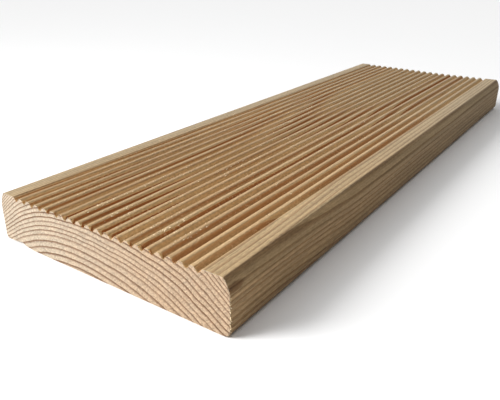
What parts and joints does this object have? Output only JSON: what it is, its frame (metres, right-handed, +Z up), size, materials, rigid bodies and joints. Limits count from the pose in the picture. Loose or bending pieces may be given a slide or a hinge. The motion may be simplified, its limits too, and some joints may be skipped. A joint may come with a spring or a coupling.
{
  "type": "ribbed decking plank",
  "caption": "Softwood decking plank with a ribbed walking face between flat margins, eased long edges, a flat underside and square-sawn ends.",
  "frame": {"origin": "middle of the flat underside", "axes": "+X across the width, +Y along the length and the grain, +Z up out of the ribbed face"},
  "size_m": [0.143, 0.43, 0.027],
  "materials": {
    "wood": "moulded and planed softwood, untreated, with sawn ends"
  },
  "bodies": {
    "root": {"plank": "wood"}
  },
  "joints": []
}
